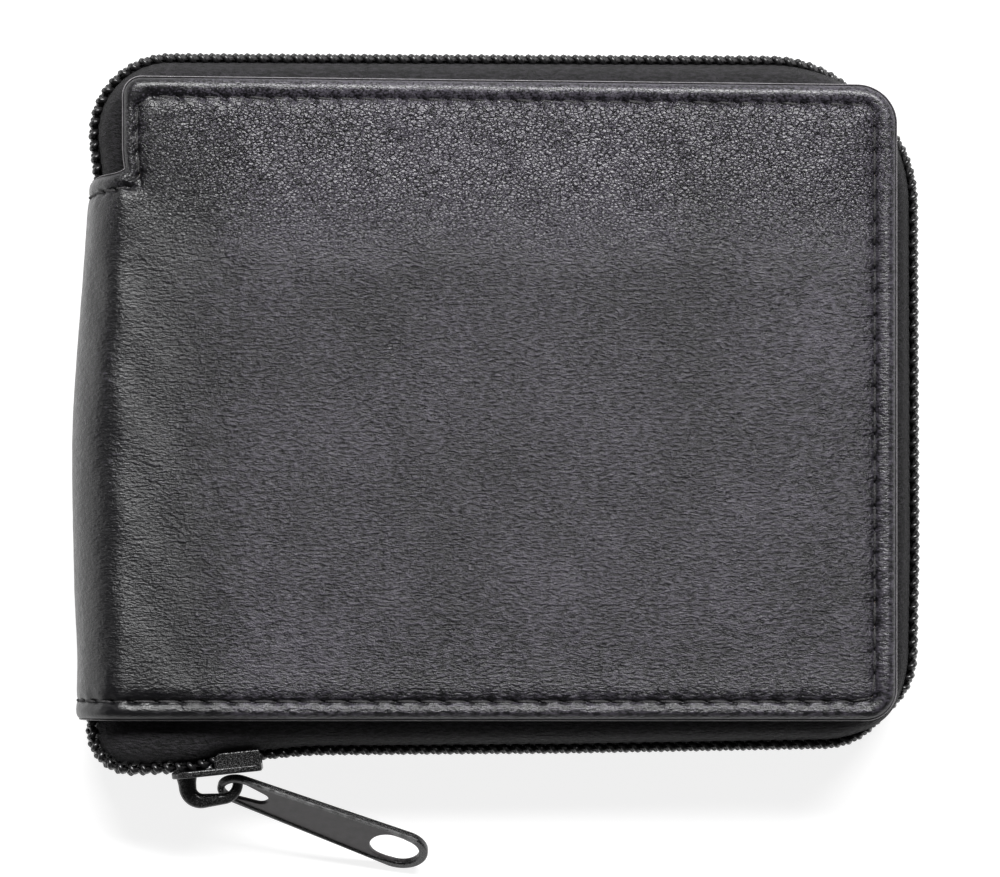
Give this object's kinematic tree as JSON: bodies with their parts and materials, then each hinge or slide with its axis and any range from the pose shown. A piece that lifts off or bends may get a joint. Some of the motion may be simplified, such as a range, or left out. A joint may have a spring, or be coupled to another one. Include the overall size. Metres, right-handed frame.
{
  "type": "zip around wallet",
  "caption": "Closed bifold wallet in black pebbled leather, with a zip round three sides, a hooked slider and a long slotted pull tab.",
  "frame": {"origin": "outer face of the back cover, at the middle of the cover's height, 48.2 mm from the fold line; the wallet lies on this face", "axes": "+X from the spine to the opening edge, +Y to the wallet's top edge, +Z out of the front cover"},
  "size_m": [0.111, 0.1073, 0.02],
  "materials": {
    "cover_leather": "black pebbled cowhide with a soft sheen",
    "thread": "waxed black thread",
    "board": "plain grey board",
    "foam": "soft foam sheet",
    "lining_fabric": "black woven lining",
    "pocket_leather": "thin smooth black leather",
    "clear_film": "clear soft plastic film",
    "tape_fabric": "black woven zip tape",
    "coil_nylon": "black nylon coil",
    "stop_metal": "blackened metal",
    "slider_metal": "gloss black enamel on zinc alloy",
    "tab_metal": "gloss black rim round a satin brown-grey face"
  },
  "bodies": {
    "back_half": {"back_cover": "cover_leather", "back_cover_stitching": "thread", "back_cover_board": "board", "back_cover_padding": "foam", "back_lining": "lining_fabric", "back_bill_divider": "pocket_leather", "back_window_frame": "pocket_leather", "back_window_film": "clear_film", "back_zip_tape": "tape_fabric", "back_zip_coil": "coil_nylon", "back_zip_stop": "stop_metal"},
    "spine": {"spine_leather": "cover_leather", "spine_lining": "lining_fabric", "spine_zip_tape_ends": "tape_fabric", "spine_zip_coil_ends": "coil_nylon"},
    "front_half": {"front_cover": "cover_leather", "front_cover_stitching": "thread", "front_cover_board": "board", "front_cover_padding": "foam", "front_lining": "lining_fabric", "front_bill_divider": "pocket_leather", "front_card_pocket_upper": "pocket_leather", "front_card_pocket_middle": "pocket_leather", "front_card_pocket_lower": "pocket_leather", "front_zip_tape": "tape_fabric", "front_zip_coil": "coil_nylon", "front_zip_stop": "stop_metal"},
    "slider": {"slider_body": "slider_metal"},
    "pull": {"pull_tab": "tab_metal"}
  },
  "joints": [
    {"name": "spine_fold", "type": "hinge", "parent": "back_half", "child": "spine", "pos_m": [-0.0482, 0, 0], "axis": [0, -1, 0], "range_deg": [0, 90]},
    {"name": "front_fold", "type": "hinge", "parent": "spine", "child": "front_half", "pos_m": [-0.0482, 0, 0.02], "axis": [0, -1, 0], "range_deg": [0, 90]},
    {"name": "slider_travel", "type": "slide", "parent": "back_half", "child": "slider", "axis": [0.9993, 0.0384, 0], "range_m": [0, 0.075]},
    {"name": "pull_swing", "type": "hinge", "parent": "slider", "child": "pull", "pos_m": [-0.03564, -0.05064, 0.01], "axis": [0, 0, -1], "range_deg": [0, 60]}
  ],
  "couplings": [
    {"joint": "front_fold", "follows": "spine_fold", "ratio": 1}
  ]
}
